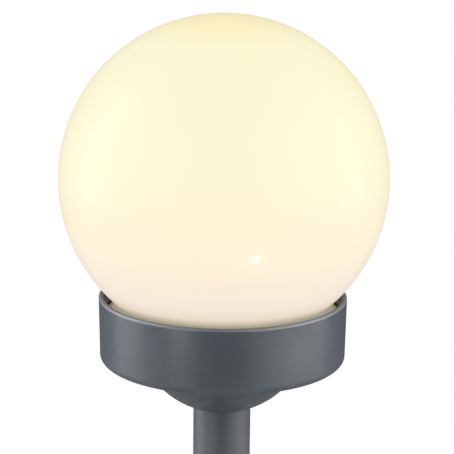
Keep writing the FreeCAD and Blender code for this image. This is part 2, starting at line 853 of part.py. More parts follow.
def make_board_parts():
    """Three parts under the board: the driver chip, the charging coil and a capacitor lying on its side."""
    under = BOARD_TOP - size("board_thick")
    chip_x, chip_y, chip_height = size("chip_x"), size("chip_y"), size("chip_height")
    chip = block("driver_chip", (chip_x, chip_y, under - chip_height),
                 (chip_x + size("chip_length"), chip_y + size("chip_width"), under))
    coil_foot, lip = under - size("coil_height"), size("coil_flange_thick")
    spot = (size("coil_x"), size("coil_y"))
    coil = fuse("charging_coil", [
        cylinder("coil_core", size("coil_radius"), size("coil_height"), *spot, coil_foot),
        cylinder("coil_flange", size("coil_flange_radius"), lip, *spot, coil_foot - lip),
    ])
    can = cylinder("capacitor", size("capacitor_radius"), size("capacitor_length"),
                   size("capacitor_x"), size("capacitor_y"), under - size("capacitor_radius"))
    capacitor = turn(can, (0, 1, 0), 90)
    for part in (chip, coil, capacitor):
        part.Label = part.Name
    return [chip, coil, capacitor]


def make_holder():
    """Open tray for one AA cell, with tall end walls for the contacts."""
    half_x, half_y, wall = size("holder_half_length"), size("holder_half_width"), size("holder_wall")
    foot = SOCKET_ROOF
    top = foot + size("holder_end_height")
    bay_x, bay_y = half_x - wall, half_y - wall
    outer = block("holder_block", (-half_x, -half_y, foot), (half_x, half_y, top))
    bay = block("holder_bay", (-bay_x, -bay_y, foot + wall), (bay_x, bay_y, top))
    over = block("holder_over", (-bay_x, -half_y, foot + size("holder_side_height")), (bay_x, half_y, top))
    holes = [cylinder(f"holder_hole_{side + 1}", size("small_screw_radius") + size("bush_gap"), wall,
                      *holder_screw_spot(side), foot) for side in (-1, 1)]
    holder = cut("battery_holder", outer, [bay, over, *holes])
    holder.Label = "battery_holder"
    return holder


def make_battery():
    body = new_body("battery_cell")
    radius, nub = size("battery_radius"), size("battery_nub_radius")
    shoulder = size("battery_length") - size("battery_nub_length")
    sketch = sketch_on(body, "XZ_Plane", "section")
    outline(sketch, [
        (0, 0), (radius, 0), (radius, shoulder), (nub, shoulder), (nub, size("battery_length")),
        (0, size("battery_length")),
    ])
    turned = revolution(body, sketch)
    rounded(body, turned, size("contact_thick"),
            lambda e: ring_edge(radius, 0)(e) or ring_edge(radius, shoulder)(e))
    turn(body, (0, 1, 0), 90)
    flat_end = size("battery_shift") - size("battery_length") / 2
    return place(body, flat_end, 0, CENTRE - size("battery_axis_drop"))


def make_contacts():
    """Flat contact at the cell's raised end and a bowed leaf at its flat end, both over the end walls."""
    axis, thick = CENTRE - size("battery_axis_drop"), size("contact_thick")
    bay, wall_face = size("holder_half_length") - size("holder_wall"), size("holder_half_length")
    nub_end = size("battery_shift") + size("battery_length") / 2
    flat_end = size("battery_shift") - size("battery_length") / 2
    wall_top, tab_foot = SOCKET_ROOF + size("holder_end_height"), axis + size("contact_tab_height")
    half, tab_half = size("contact_half_width"), size("contact_tab_half_width")
    reach = size("contact_half_height")
    plate = block("contact_sheet", (bay - thick, -half, axis - reach), (bay, half, wall_top + thick))
    bridge = block("contact_bridge", (bay - thick, -tab_half, wall_top),
                   (wall_face + thick, tab_half, wall_top + thick))
    tab = block("contact_tab", (wall_face, -tab_half, tab_foot),
                (wall_face + thick, tab_half, wall_top + thick))
    boss = cylinder("contact_boss", size("contact_boss_radius"), bay - thick - nub_end, nub_end, 0, axis)
    turn(boss, (0, 1, 0), 90)
    contact = fuse("battery_contact", [plate, bridge, tab, boss])
    contact.Label = "battery_contact"
    body = new_body("battery_leaf_spring")
    sketch = sketch_on(body, "XZ_Plane", "leaf")
    inner_reach = size("leaf_inner_half_height")
    outline(sketch, [
        (-bay, axis - reach),
        (-bay + thick, axis - reach),
        (flat_end, axis),
        (-bay + thick, axis + reach),
        (-bay + thick, wall_top + thick),
        (-wall_face - thick, wall_top + thick),
        (-wall_face - thick, tab_foot),
        (-wall_face, tab_foot),
        (-wall_face, wall_top),
        (-bay, wall_top),
        (-bay, axis + inner_reach),
        (flat_end - thick * LEAF_SLANT, axis),
        (-bay, axis - inner_reach),
    ])
    pad(body, sketch, size("leaf_half_width") * 2, midplane=True)
    return [contact, body]


def make_switch():
    """Slide switch: a body with two ears over the slot in the collar's floor, and its knob."""
    reach, foot = size("switch_circle"), FLOOR
    half_x, half_y = size("switch_half_length"), size("switch_half_width")
    ear = half_x + size("switch_ear_length")
    slot_x, slot_y, gap = size("switch_slot_half_length"), size("switch_slot_half_width"), size("post_gap")
    case = block("switch_case", (-half_x, reach - half_y, foot),
                 (half_x, reach + half_y, foot + size("switch_height")))
    ear_half = half_y - size("switch_ear_inset")
    ears = block("switch_ears", (-ear, reach - ear_half, foot),
                 (ear, reach + ear_half, foot + size("switch_ear_thick")))
    recess_x, recess_y = slot_x + size("switch_recess_end"), slot_y + size("switch_recess_side")
    recess_top = foot + size("switch_recess_depth")
    recess = block("switch_recess", (-recess_x, reach - recess_y, foot),
                   (recess_x, reach + recess_y, recess_top))
    holes = [cylinder(f"ear_hole_{side + 1}", size("small_pilot_radius"), size("switch_ear_thick"),
                      switch_screw_x(side), reach, foot) for side in (-1, 1)]
    body = cut("switch_body", fuse("switch_shell", [case, ears]), [recess, *holes])
    body.Label = "switch_body"
    rest = -size("switch_travel") / 2
    knob_x, knob_y = size("switch_knob_half_length"), size("switch_knob_half_width")
    flange_foot, flange_top = foot + size("post_gap"), recess_top - size("post_gap")
    stem = block("knob_stem", (rest - knob_x, reach - knob_y, UNDERSIDE - size("switch_knob_reach")),
                 (rest + knob_x, reach + knob_y, flange_top))
    flange = block("knob_flange", (rest - knob_x, reach - recess_y + gap, flange_foot),
                   (rest + knob_x, reach + recess_y - gap, flange_top))
    knob = fuse("switch_slider", [stem, flange])
    knob.Label = "switch_slider"
    return [body, knob]


# ---------------------------------------------------------------- fasteners and leads

def make_screw(name, x, y, seat, length, downwards=True, small=False):
    """Pan-head screw with a cross slot. Its head sits at the seat's height and its shank goes on from it."""
    shank_r = size("small_screw_radius" if small else "screw_radius")
    head_r = size("small_head_radius" if small else "screw_head_radius")
    head_h = size("small_head_height" if small else "screw_head_height")
    slot_depth = size("small_drive_slot_depth" if small else "drive_slot_depth")
    sign = 1 if downwards else -1
    shank_foot = seat - length if downwards else seat
    shank = cylinder(f"{name}_shank", shank_r, length, x, y, shank_foot)
    head = DOC.addObject("Part::Cone", f"{name}_head")
    bind(head, "Radius1", head_r if downwards else head_r * HEAD_TAPER)
    bind(head, "Radius2", head_r * HEAD_TAPER if downwards else head_r)
    bind(head, "Height", head_h)
    place(head, x, y, seat if downwards else seat - head_h)
    blank = fuse(f"{name}_blank", [shank, head])
    crown = seat + head_h * sign
    deep = crown - slot_depth * sign
    low, high = (deep, crown + 1) if downwards else (crown - 1, deep)
    half, reach = size("drive_slot_width") / 2, head_r * DRIVE_SLOT_SHARE
    slots = [
        block(f"{name}_slot_x", (x - reach, y - half, low), (x + reach, y + half, high)),
        block(f"{name}_slot_y", (x - half, y - reach, low), (x + half, y + reach, high)),
    ]
    return cut(name, blank, slots)


def make_screw_group(label, spots, seat, length, **kind):
    screws = [make_screw(f"{label}_{i}", x, y, seat, length, **kind) for i, (x, y) in enumerate(spots)]
    return group(label, screws)


def make_screws():
    deck = on_circle(size("deck_boss_circle"), SCREW_COUNT, DECK_SCREW_ANGLE)
    bowl = on_circle(size("bowl_screw_circle"), SCREW_COUNT, DIMENSIONS["bowl_screw_angle"])
    holder = [holder_screw_spot(side) for side in (-1, 1)]
    board = [(size("board_screw_offset") * side, 0) for side in (-1, 1)]
    plate = [(size("reflector_screw_offset") * side, 0) for side in (-1, 1)]
    switch = [(switch_screw_x(side), size("switch_circle")) for side in (-1, 1)]
    long, short = size("screw_length"), size("small_screw_length")
    board_under = BOARD_TOP - size("board_thick")
    return [
        make_screw_group("deck_screws", deck, DECK, long),
        make_screw_group("bowl_screws", bowl, UNDERSIDE, long, downwards=False),
        make_screw_group("holder_screws", holder, SOCKET_ROOF + size("holder_wall"), short, small=True),
        make_screw_group("board_screws", board, board_under, short, downwards=False, small=True),
        make_screw_group("reflector_screws", plate, BOSS_TOP + size("reflector_thick"), short, small=True),
        make_screw_group("switch_screws", switch, UNDERSIDE, size("switch_screw_length"),
                         downwards=False, small=True),
    ]


def rounded_path(points):
    """Straight runs through the points, joined by tangent arcs of the leads' bend radius."""
    spots = [FreeCAD.Vector(*[as_size(v).number for v in p]) for p in points]
    bend = SHEET.get("lead_bend")
    edges, start = [], spots[0]
    for before, corner, after in zip(spots, spots[1:], spots[2:]):
        arrive, leave = corner - before, after - corner
        arrive.normalize()
        leave.normalize()
        half_turn = arrive.getAngle(leave) / 2
        trim = bend * math.tan(half_turn)
        if trim > (corner - start).Length or trim > (after - corner).Length:
            raise RuntimeError("a lead's run is too short for its bend")
        enter, end = corner - arrive * trim, corner + leave * trim
        inward = (leave - arrive).normalize()
        edges.append(Part.LineSegment(start, enter).toShape())
        edges.append(Part.Arc(enter, corner + inward * bend * (1 / math.cos(half_turn) - 1), end).toShape())
        start = end
    edges.append(Part.LineSegment(start, spots[-1]).toShape())
    return Part.Wire(edges)


def lead_solid(points):
    """Insulated lead along its real route, with the share of its volume that a plain tube would have."""
    path = rounded_path(points)
    radius = SHEET.get("lead_radius")
    start = path.Edges[0]
    ring = Part.Circle(start.valueAt(start.FirstParameter), start.tangentAt(start.FirstParameter), radius)
    solid = path.makePipeShell([Part.Wire(ring.toShape())], True, False)
    return solid, path.Length, solid.Volume / (math.pi * radius**2 * path.Length)


def make_leads_of(label, routes):
    """One lead, or more of the same kind, soldered at both ends."""
    solids = []
    for points in routes:
        solid, length, share = lead_solid(points)
        print(f"{label}: length {length:.1f} mm, volume share {share:.4f}")
        solids.append(solid)
    lead = DOC.addObject("Part::Feature", label)
    lead.Label = label
    lead.Shape = solids[0] if len(solids) == 1 else Part.makeCompound(solids)
    return lead


def make_leads():
    """Panel, battery and switch leads, each soldered to the board."""
    under = BOARD_TOP - size("board_thick")
    level = CENTRE - size("battery_axis_drop") + size("battery_lead_rise")
    back, case_top = size("switch_circle"), FLOOR + size("switch_height")
    over, board_edge = case_top + size("switch_lead_rise"), size("board_width") / 2 - size("board_lead_inset")
    turn_x, turn_y = size("battery_lead_turn_x"), size("battery_lead_turn_y")
    leads = []
    for colour, side in (("black", -1), ("red", 1)):
        leads.append(make_leads_of(f"panel_leads_{colour}", [
            [(panel_lead_x(side), size("panel_offset") * row, BOSS_TOP),
             (panel_lead_x(side), size("panel_offset") * row, BOARD_TOP)] for row in (-1, 1)]))
        start = (size("holder_half_length") + size("contact_thick")) * side
        post_x, post_y = size("battery_lead_x") * side, size("battery_lead_y")
        leads.append(make_leads_of(f"battery_lead_{colour}", [[
            (start, 0, level),
            (size("battery_lead_reach") * side, 0, level),
            (turn_x * side, turn_y, level - size("battery_lead_sag")),
            (post_x, post_y, level),
            (post_x, post_y, under)]]))
        x = size("switch_lead_x") * side
        leads.append(make_leads_of(f"switch_lead_{colour}", [[
            (x, back, case_top),
            (x, back, over),
            (x, size("switch_lead_turn_y"), over),
            (x, board_edge, over + size("switch_lead_climb")),
            (x, board_edge, under)]]))
    return leads


# ---------------------------------------------------------------- post and spike

def make_post():
    """Plain round tube with a small chamfer at each end."""
    body = new_body("post_tube")
    outer = size("post_radius")
    inner = outer - size("post_wall")
    foot, top = size("spike_disc_thick") + size("post_gap"), size("post_top_height")
    sketch = sketch_on(body, "XZ_Plane", "section")
    outline(sketch, [(inner, foot), (outer, foot), (outer, top), (inner, top)])
    turned = revolution(body, sketch)
    rounded(body, turned, size("contact_thick"),
            lambda e: ring_edge(outer, foot)(e) or ring_edge(outer, top)(e), "Chamfer")
    return body


def make_spike():
    """Ground spike: a four-finned blade, a disc that rests on the soil and a ribbed spigot for the post."""
    body = new_body("ground_spike")
    disc, thick = size("spike_disc_radius"), size("spike_disc_thick")
    spigot, wall = size("spigot_radius"), size("spigot_wall")
    top, core, tip = size("spigot_height"), size("spike_core_radius"), -size("spike_length")
    chamfer, spigot_chamfer = size("spike_disc_chamfer"), size("spigot_chamfer")
    sketch = sketch_on(body, "XZ_Plane", "section")
    outline(sketch, [
        (0, tip), (core, 0), (disc, 0),
        (disc, thick - chamfer), (disc - chamfer, thick), (spigot, thick),
        (spigot, top - spigot_chamfer), (spigot - spigot_chamfer, top),
        (spigot - wall, top), (spigot - wall, thick), (0, thick),
    ])
    revolution(body, sketch)
    knee, knee_depth = size("spike_knee_half_width"), -size("spike_knee_depth")
    fin_foot = thick / 2
    for plane in ("XZ_Plane", "YZ_Plane"):
        fin_sketch = sketch_on(body, plane, f"fin_{plane[:2]}")
        outline(fin_sketch, [
            (0, tip), (knee, knee_depth), (size("spike_half_width"), 0), (size("spike_half_width"), fin_foot),
            (-size("spike_half_width"), fin_foot), (-size("spike_half_width"), 0), (-knee, knee_depth),
        ])
        pad(body, fin_sketch, size("spike_fin_thick"), midplane=True)
    rib_sketch = sketch_on(body, "XY_Plane", "rib", thick)
    half = size("spigot_rib_width") / 2
    rectangle(rib_sketch, spigot - wall / 2, -half, size("spigot_rib_radius"), half)
    body.Tip = around(body, pad(body, rib_sketch, top - thick - size("spigot_rib_short")), SPIGOT_RIB_COUNT)
    return body


# ---------------------------------------------------------------- the whole light

def build():
    seat_gasket = make_ring("seat_gasket", LEDGE, size("ledge_radius") + size("bush_gap"),
                            size("deck_radius"), size("gasket_thick"))
    bush_height = size("post_top_height") - BUSH_FOOT
    bush = make_ring("socket_bush", BUSH_FOOT, MOUTH_RADIUS, BUSH_RADIUS, bush_height)
    parts = [
        make_globe(), make_collar(), make_bowl(), make_flange_gasket(), make_deck(), seat_gasket,
        make_neck_seal(), make_reflector(),
        make_panel("solar_panel_front", -1), make_panel("solar_panel_rear", 1),
        make_lamp("led_lamp_left", -1), make_lamp("led_lamp_centre", 0), make_lamp("led_lamp_right", 1),
        make_lamp_legs(), make_board(), *make_board_parts(),
        make_holder(), make_battery(), *make_contacts(), *make_switch(), *make_screws(), *make_leads(),
        make_post(), bush, make_spike(),
    ]
    DOC.recompute()
    return parts


def check_and_write(parts):
    failed = [o.Label for o in DOC.Objects if "Invalid" in o.State or "Error" in o.State]
    if failed:
        raise RuntimeError(f"these objects failed: {failed}")
    for part in parts:
        if part.Shape.isNull() or not part.Shape.isValid():
            raise RuntimeError(f"{part.Label} has no valid shape")
        print(f"{part.Label}: {len(part.Shape.Solids)} solid, {part.Shape.Volume / 1000:.2f} cm3")
    os.makedirs("parts", exist_ok=True)
    for part in parts:
        part.Shape.exportStep(f"parts/{part.Label}.step")


check_and_write(build())
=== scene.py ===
"""Dresses the garden globe light for display: finishes, solar cells, lamp cups and a plain studio.

Metres, +Z up. The origin is on the post's axis at ground level and the front is towards -Y.
"""

import math

import bpy
from mathutils import Matrix, Vector


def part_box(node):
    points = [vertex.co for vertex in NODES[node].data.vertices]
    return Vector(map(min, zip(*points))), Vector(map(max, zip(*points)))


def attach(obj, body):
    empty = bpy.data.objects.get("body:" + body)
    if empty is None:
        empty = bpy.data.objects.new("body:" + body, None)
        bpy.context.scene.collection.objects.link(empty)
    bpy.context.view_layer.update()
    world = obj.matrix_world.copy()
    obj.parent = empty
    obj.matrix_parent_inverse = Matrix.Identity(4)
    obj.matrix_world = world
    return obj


bl_info = {
    "name": "Garden Globe Light",
    "version": (1, 0, 0),
    "blender": (4, 5, 0),
    "location": "3D View > Sidebar > Globe Light",
    "description": "Finishes, solar cells, lamp cups and a studio for a garden globe light",
    "category": "Object",
}

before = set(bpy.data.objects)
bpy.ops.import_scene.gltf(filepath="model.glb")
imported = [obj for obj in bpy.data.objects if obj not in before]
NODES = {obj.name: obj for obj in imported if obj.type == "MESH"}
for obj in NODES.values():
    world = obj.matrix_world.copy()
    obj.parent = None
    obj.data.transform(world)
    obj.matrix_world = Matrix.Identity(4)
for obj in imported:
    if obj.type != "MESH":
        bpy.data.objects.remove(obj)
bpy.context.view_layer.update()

GLOBE_LOW, GLOBE_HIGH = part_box("globe")
GLOBE_CENTRE = GLOBE_HIGH.z - (GLOBE_HIGH.x - GLOBE_LOW.x) / 2
SPIKE_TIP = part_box("ground_spike")[0].z
MILLIMETRE = 0.001

# Upright soft lights round the object: name, degrees round from the front, width in metres, watts
SOFT_LIGHTS = (
    ("left_edge_light", -104, 0.15, 3.0),
    ("left_light", -94, 0.55, 12.4),
    ("left_quarter_light", -68, 0.35, 1.7),
    ("left_front_light", -38, 0.40, 5.2),
    ("right_front_light", 38, 0.45, 3.4),
    ("right_quarter_light", 66, 0.45, 6.8),
    ("right_light", 94, 0.50, 9.8),
)
LIGHT_DISTANCE, LIGHT_HEIGHT, LIGHT_RISE = 1.0, 1.0, math.radians(12)

# The small lamp whose glint shows low on the globe, seen from the globe's centre
SMALL_LAMP_WAY = Vector((0.311, -0.7495, -0.5844))
SMALL_LAMP_DISTANCE, SMALL_LAMP_SIZE, SMALL_LAMP_POWER = 0.28, 0.009, 0.34

# The black cloth: its colour, roughness and corners, and the heights above the spike's tip between which it
# turns from grey to black
CLOTH_BLACK, CLOTH_ROUGHNESS, CLOTH_CORNERS = (0.006, 0.006, 0.006), 0.95, 48
CLOTH_GREY_END, CLOTH_BLACK_START = 1 * MILLIMETRE, 2 * MILLIMETRE
# The floor: its gap below the spike's tip, its corners and the share of its radius where it starts to fade;
# its paper: the size and the tone of its patches, and its roughness
FLOOR_GAP, FLOOR_CORNERS, FLOOR_FADE = 0.5 * MILLIMETRE, 96, 0.5
FLOOR_PATCH, FLOOR_PATCH_TONE, FLOOR_ROUGHNESS = 0.05, 0.98, 0.9
BACKGROUND_STRENGTH = 1.0
SENSOR_WIDTH = 36


# ---------------------------------------------------------------- sizes and colours a user may change

def colour(name, description, value):
    return bpy.props.FloatVectorProperty(
        name=name, description=description, default=value, subtype="COLOR", min=0.0, max=1.0)


def length(name, description, value):
    return bpy.props.FloatProperty(
        name=name, description=description, default=value, subtype="DISTANCE", unit="LENGTH", min=0.0)


def share(name, description, value, most=1.0):
    return bpy.props.FloatProperty(
        name=name, description=description, default=value, subtype="FACTOR", min=0.0, max=most)


def angle(name, description, degrees):
    return bpy.props.FloatProperty(
        name=name, description=description, default=math.radians(degrees), subtype="ANGLE", unit="ROTATION")


def focal(name, description, millimetres):
    return bpy.props.FloatProperty(
        name=name, description=description, default=millimetres, subtype="DISTANCE_CAMERA", unit="CAMERA",
        min=1.0)


class GlobeFinish(bpy.types.PropertyGroup):
    """The lit opal globe."""
    crown: colour("Crown", "Glow at the top of the globe", (0.99, 0.893, 0.54))
    middle: colour("Middle", "Glow round the middle", (0.995, 0.929, 0.643))
    shoulder: colour("Shoulder", "Glow between the middle and the collar", (0.992, 0.869, 0.669))
    # The low, foot and skirt glows are painted shade: darker close to the collar, where the collar shades the
    # globe
    low: colour("Low", "Glow a little above the collar", (0.93, 0.80, 0.69))
    foot: colour("Foot", "Glow close to the collar", (0.83, 0.72, 0.575))
    skirt: colour("Skirt", "Glow where the skirt starts, inside the collar", (0.38, 0.32, 0.24))
    body: colour("Body", "Colour of the opal plastic itself", (0.040, 0.044, 0.048))
    glow: share("Glow", "How strongly the globe is lit from inside", 0.955, 4.0)
    polish: share("Roughness", "Roughness of the outside", 0.14)
    coat: share("Clear coat", "How far a clear coat darkens the globe towards its edge", 1.0)


class HousingFinish(bpy.types.PropertyGroup):
    """The dark plastic of the collar, the bowl and the spike, and the coated post."""
    plastic: colour("Plastic", "Anthracite plastic of the collar and the bowl", (0.051, 0.062, 0.072))
    post: colour("Post", "Coating of the post", (0.052, 0.059, 0.067))
    spike: colour("Spike", "Black plastic of the spike", (0.035, 0.038, 0.040))
    satin: share("Roughness", "Roughness of the satin plastic", 0.23)
    lip: share("Lip roughness", "Roughness of the collar's rubbed lip", 0.62)
    coat: share("Post roughness", "Roughness of the post's coating", 0.40)
    grain: length("Grain", "Size of the moulded texture", 0.45 * MILLIMETRE)


class CellLayout(bpy.types.PropertyGroup):
    """The strips of each solar panel."""
    strips: bpy.props.IntProperty(name="Strips", description="Strips on each panel", default=6, min=1, max=12)
    gap: length("Gap", "Gap between two strips", 0.5 * MILLIMETRE)
    border: length("Border", "Plain border round the strips", 1.4 * MILLIMETRE)
    thick: length("Thickness", "Thickness of a strip", 0.12 * MILLIMETRE)
    cell: colour("Cell", "Colour of the cells", (0.012, 0.020, 0.060))
    finger: colour("Fingers", "Colour of the printed fingers", (0.45, 0.46, 0.48))


class StudioSetting(bpy.types.PropertyGroup):
    """Camera, lights, floor and cloth."""
    distance: length("Distance", "From the camera to the middle of the globe", 1.0)
    elevation: angle("Elevation", "Height of the camera above the horizon", 12.8)
    yaw: angle("Yaw", "Turn of the camera to the right", 0.09)
    pitch: angle("Pitch", "Turn of the camera upwards", -1.25)
    roll: angle("Roll", "Tilt of the camera", 0.56)
    lens: focal("Lens", "Focal length on a 36 mm sensor", 174.9)
    level: share("Light level", "Share of the soft lights' full power", 1.0, 4.0)
    fill: share("Fill", "Strength of the light from all round", 0.03, 2.0)
    floor: colour("Floor", "Colour of the floor", (0.86, 0.86, 0.85))
    floor_radius: length("Floor radius", "Where the floor has faded out", 0.66)
    cloth_radius: length("Cloth radius", "From the post to the black cloth", 1.3)
    cloth_height: length("Cloth height", "Height of the black cloth above the spike's tip", 1.1)
    foot_cloth: share("Foot cloth", "Grey of the cloth that lies under the light", 0.17)


# ---------------------------------------------------------------- finishes

# Where each colour of the glow sits, from the foot of the globe's neck (0) to its top (1). The darker stops
# low down are painted shade where the collar shades the globe; the pale band near 0.09 is painted light at
# the step under the skirt, which lights the gap inside the collar.
GLOW_AND_PAINTED_SHADE_STOPS = (
    (0.0, "skirt"), (0.088, "foot"), (0.091, "foot"), (0.094, "skirt"), (0.122, "skirt"), (0.154, "foot"),
    (0.19, "low"), (0.32, "shoulder"), (0.60, "middle"), (0.937, "middle"), (0.985, "crown"),
)
# Detail of a noise with fine branches, and of one without
FINE_DETAIL, SOFT_DETAIL = 3.0, 2.0

# Factors between which a finish wanders round its own tone and its own roughness
OPAL_WEAR = (0.8, 1.25)
MOULDED_TONE, MOULDED_WEAR = (0.93, 1.07), (0.9, 1.12)
COATED_TONE, COATED_WEAR = (0.94, 1.08), (0.92, 1.1)
PLAIN_TONE, PLAIN_WEAR = (0.9, 1.1), (0.85, 1.15)

# Opal: sizes of its clouds, its dull patches and its grain, then how much the clouds change the glow and the
# body, and the tone that they give the body
CLOUD_SIZE, OPAL_PATCH, OPAL_GRAIN = 0.030, 0.012, 0.004
CLOUD_IN_GLOW, CLOUD_IN_BODY, CLOUD_TONE = 0.05, 0.25, 0.9
# The opal reflects little, and its clear coat is there to darken the glow towards the edge
OPAL_INDEX, OPAL_COAT_INDEX, OPAL_COAT_ROUGHNESS = 1.07, 1.1, 0.4

# Moulded plastic: size of the flow marks, then size of the specks in grains, their strength and their tone.
# The parts are those of the noise that show. The breakup is how rough the grain's noise is.
FLOW_SIZE, FLOW_PART = 0.035, (0.3, 0.7)
SPECK_SIZE, SPECK_STRENGTH, SPECK_TONE, SPECK_PART = 1.8, 0.35, 1.35, (0.35, 0.75)
GRAIN_BREAKUP = 0.6

# Sizes of the coating's orange peel and patches, and of a small part's patches
PEEL_SIZE, COATED_PATCH, PLAIN_PATCH = 0.9 * MILLIMETRE, 0.02, 0.008
# Depths of the bumps
PLAIN_RELIEF, MOULDED_RELIEF, PEEL_RELIEF = 0.01 * MILLIMETRE, 0.02 * MILLIMETRE, 0.03 * MILLIMETRE

# Indices of refraction; the collar's and the post's are high for their look in the photograph
COLLAR_INDEX, POST_INDEX = 2.0, 1.7
PLASTIC_INDEX, BUSH_INDEX, GLOSSY_INDEX, LAMP_INDEX = 1.46, 1.48, 1.5, 1.54
# Depths below the collar's rim where the rubbed lip starts and where it is fully dull
LIP_START, LIP_FULL = 1.6 * MILLIMETRE, 1.0 * MILLIMETRE
# The spike against the collar: how much rougher it is and how much coarser its grain
SPIKE_ROUGHER, SPIKE_COARSER = 2, 1.4
SEAT_PLASTIC, SEAT_ROUGHNESS = (0.62, 0.58, 0.50), 0.5

USUAL_GRAIN = 0.6 * MILLIMETRE
# Small parts by step: name of the finish, colour, roughness, grain, other sockets, nodes
SMALL_PARTS = {
    "housing": (
        ("gasket_rubber", (0.018, 0.018, 0.018), 0.75, USUAL_GRAIN, {},
         ("bowl_gasket", "seat_gasket", "neck_seal")),
        ("screw_zinc", (0.60, 0.60, 0.58), 0.30, 0.2 * MILLIMETRE, {"Metallic": 1.0},
         ("bowl_screws", "deck_screws", "holder_screws", "reflector_screws", "switch_screws",
          "board_screws")),
        ("bush_plastic", (0.50, 0.50, 0.46), 0.35, USUAL_GRAIN, {"IOR": BUSH_INDEX},
         ("socket_bush",)),
        ("switch_plastic", (0.012, 0.012, 0.013), 0.4, USUAL_GRAIN, {},
         ("switch_body", "switch_slider")),
    ),
    "seat": (
        ("reflector_white", (0.82, 0.81, 0.77), 0.38, 1.2 * MILLIMETRE, {"IOR": GLOSSY_INDEX},
         ("reflector_plate",)),
    ),
    "cells": (
        ("panel_resin", (0.010, 0.013, 0.024), 0.10, 3 * MILLIMETRE,
         {"IOR": GLOSSY_INDEX, "Coat_Weight": 0.5},
         ("solar_panel_front", "solar_panel_rear")),
    ),
    "lamps": (
        ("tinned_leg", (0.66, 0.66, 0.63), 0.3, USUAL_GRAIN, {"Metallic": 1.0},
         ("lamp_legs",)),
    ),
    "electrics": (
        ("board_green", (0.015, 0.085, 0.035), 0.25, 1.0 * MILLIMETRE, {"Coat_Weight": 0.3},
         ("circuit_board",)),
        ("chip_black", (0.012, 0.012, 0.012), 0.5, USUAL_GRAIN, {},
         ("driver_chip", "battery_holder")),
        ("ferrite", (0.030, 0.029, 0.028), 0.6, USUAL_GRAIN, {},
         ("charging_coil",)),
        ("can_aluminium", (0.62, 0.63, 0.64), 0.25, USUAL_GRAIN, {"Metallic": 1.0},
         ("capacitor",)),
        ("cell_sleeve", (0.08, 0.16, 0.10), 0.22, USUAL_GRAIN, {"Coat_Weight": 0.4},
         ("battery_cell",)),
        ("contact_nickel", (0.70, 0.69, 0.64), 0.22, USUAL_GRAIN, {"Metallic": 1.0},
         ("battery_contact", "battery_leaf_spring")),
        ("red_sleeve", (0.35, 0.012, 0.012), 0.45, USUAL_GRAIN, {},
         ("panel_leads_red", "battery_lead_red", "switch_lead_red")),
        ("black_sleeve", (0.012, 0.012, 0.012), 0.45, USUAL_GRAIN, {},
         ("panel_leads_black", "battery_lead_black", "switch_lead_black")),
    ),
}


class Finish:
    """A procedural material that is built up node by node."""

    def __init__(self, name):
        self.material = bpy.data.materials.new(name)
        self.material.use_nodes = True
        self.tree = self.material.node_tree
        self.tree.nodes.clear()
        self.shader = self.add("ShaderNodeBsdfPrincipled")
        self.output = self.add("ShaderNodeOutputMaterial")
        self.link(self.shader.outputs[0], self.output.inputs["Surface"])
        self.place = self.add("ShaderNodeTexCoord").outputs["Object"]

    def add(self, kind, **values):
        made = self.tree.nodes.new(kind)
        for name, value in values.items():
            setattr(made, name, value)
        return made

    def link(self, source, target):
        self.tree.links.new(source, target)

    def feed(self, socket, value):
        """Links another node's output to a socket, or sets the socket to a plain value."""
        if isinstance(value, bpy.types.NodeSocket):
            self.link(value, socket)
        elif socket.type == "RGBA":
            socket.default_value = (*value, 1.0)
        else:
            socket.default_value = value

    def set(self, **values):
        """Sets the shader's own sockets, named with underscores for spaces."""
        for name, value in values.items():
            self.feed(self.shader.inputs[name.replace("_", " ")], value)
        return self

    def noise(self, size, detail=SOFT_DETAIL, roughness=0.5):
        """Noise with features of about that size in metres."""
        made = self.add("ShaderNodeTexNoise")
        made.inputs["Scale"].default_value = 1.0 / size
        made.inputs["Detail"].default_value = detail
        made.inputs["Roughness"].default_value = roughness
        self.link(self.place, made.inputs["Vector"])
        return made.outputs["Fac"]

    def spread(self, value, low, high, start=0.0, end=1.0):
        """Maps start..end of a value to low..high."""
        made = self.add("ShaderNodeMapRange")
        for name, limit in (("From Min", start), ("From Max", end), ("To Min", low), ("To Max", high)):
            made.inputs[name].default_value = limit
        self.link(value, made.inputs["Value"])
        return made.outputs["Result"]

    def ramp(self, value, stops):
        """A colour ramp of (position, colour) stops."""
        made = self.add("ShaderNodeValToRGB")
        points = made.color_ramp.elements
        while len(points) < len(stops):
            points.new(0.5)
        for point, (position, shade) in zip(points, stops):
            point.position = position
            point.color = (*shade, 1.0)
        self.link(value, made.inputs["Fac"])
        return made.outputs["Color"]

    def mix(self, amount, first, second):
        made = self.add("ShaderNodeMix", data_type="RGBA")
        for index, value in ((0, amount), (6, first), (7, second)):
            self.feed(made.inputs[index], value)
        return made.outputs[2]

    def greater(self, first, second):
        made = self.add("ShaderNodeMath", operation="MAXIMUM")
        self.link(first, made.inputs[0])
        self.link(second, made.inputs[1])
        return made.outputs[0]

    def height(self):
        """Z of the point."""
        made = self.add("ShaderNodeSeparateXYZ")
        self.link(self.place, made.inputs[0])
        return made.outputs["Z"]

    def bump(self, height, depth):
        made = self.add("ShaderNodeBump")
        made.inputs["Distance"].default_value = depth
        self.link(height, made.inputs["Height"])
        self.link(made.outputs[0], self.shader.inputs["Normal"])

    def colours(self, source):
        self.link(source, self.shader.inputs["Base Color"])

    def roughness(self, source):
        self.link(source, self.shader.inputs["Roughness"])

    def tones(self, amount, shade, factors):
        """Wanders between a darker and a paler tone of one colour."""
        low, high = factors
        return self.mix(amount, lighter(shade, low), lighter(shade, high))

    def worn(self, amount, roughness, factors, part=(0.0, 1.0)):
        """Lets the roughness wander with the amount."""
        low, high = factors
        self.roughness(self.spread(amount, roughness * low, min(1.0, roughness * high), *part))


def lighter(shade, factor):
    return tuple(min(1.0, part * factor) for part in shade)


def put_on(finish, *names):
    """Gives CAD nodes a finish."""
    for name in names:
        data = NODES[name].data
        data.materials.clear()
        data.materials.append(finish.material)


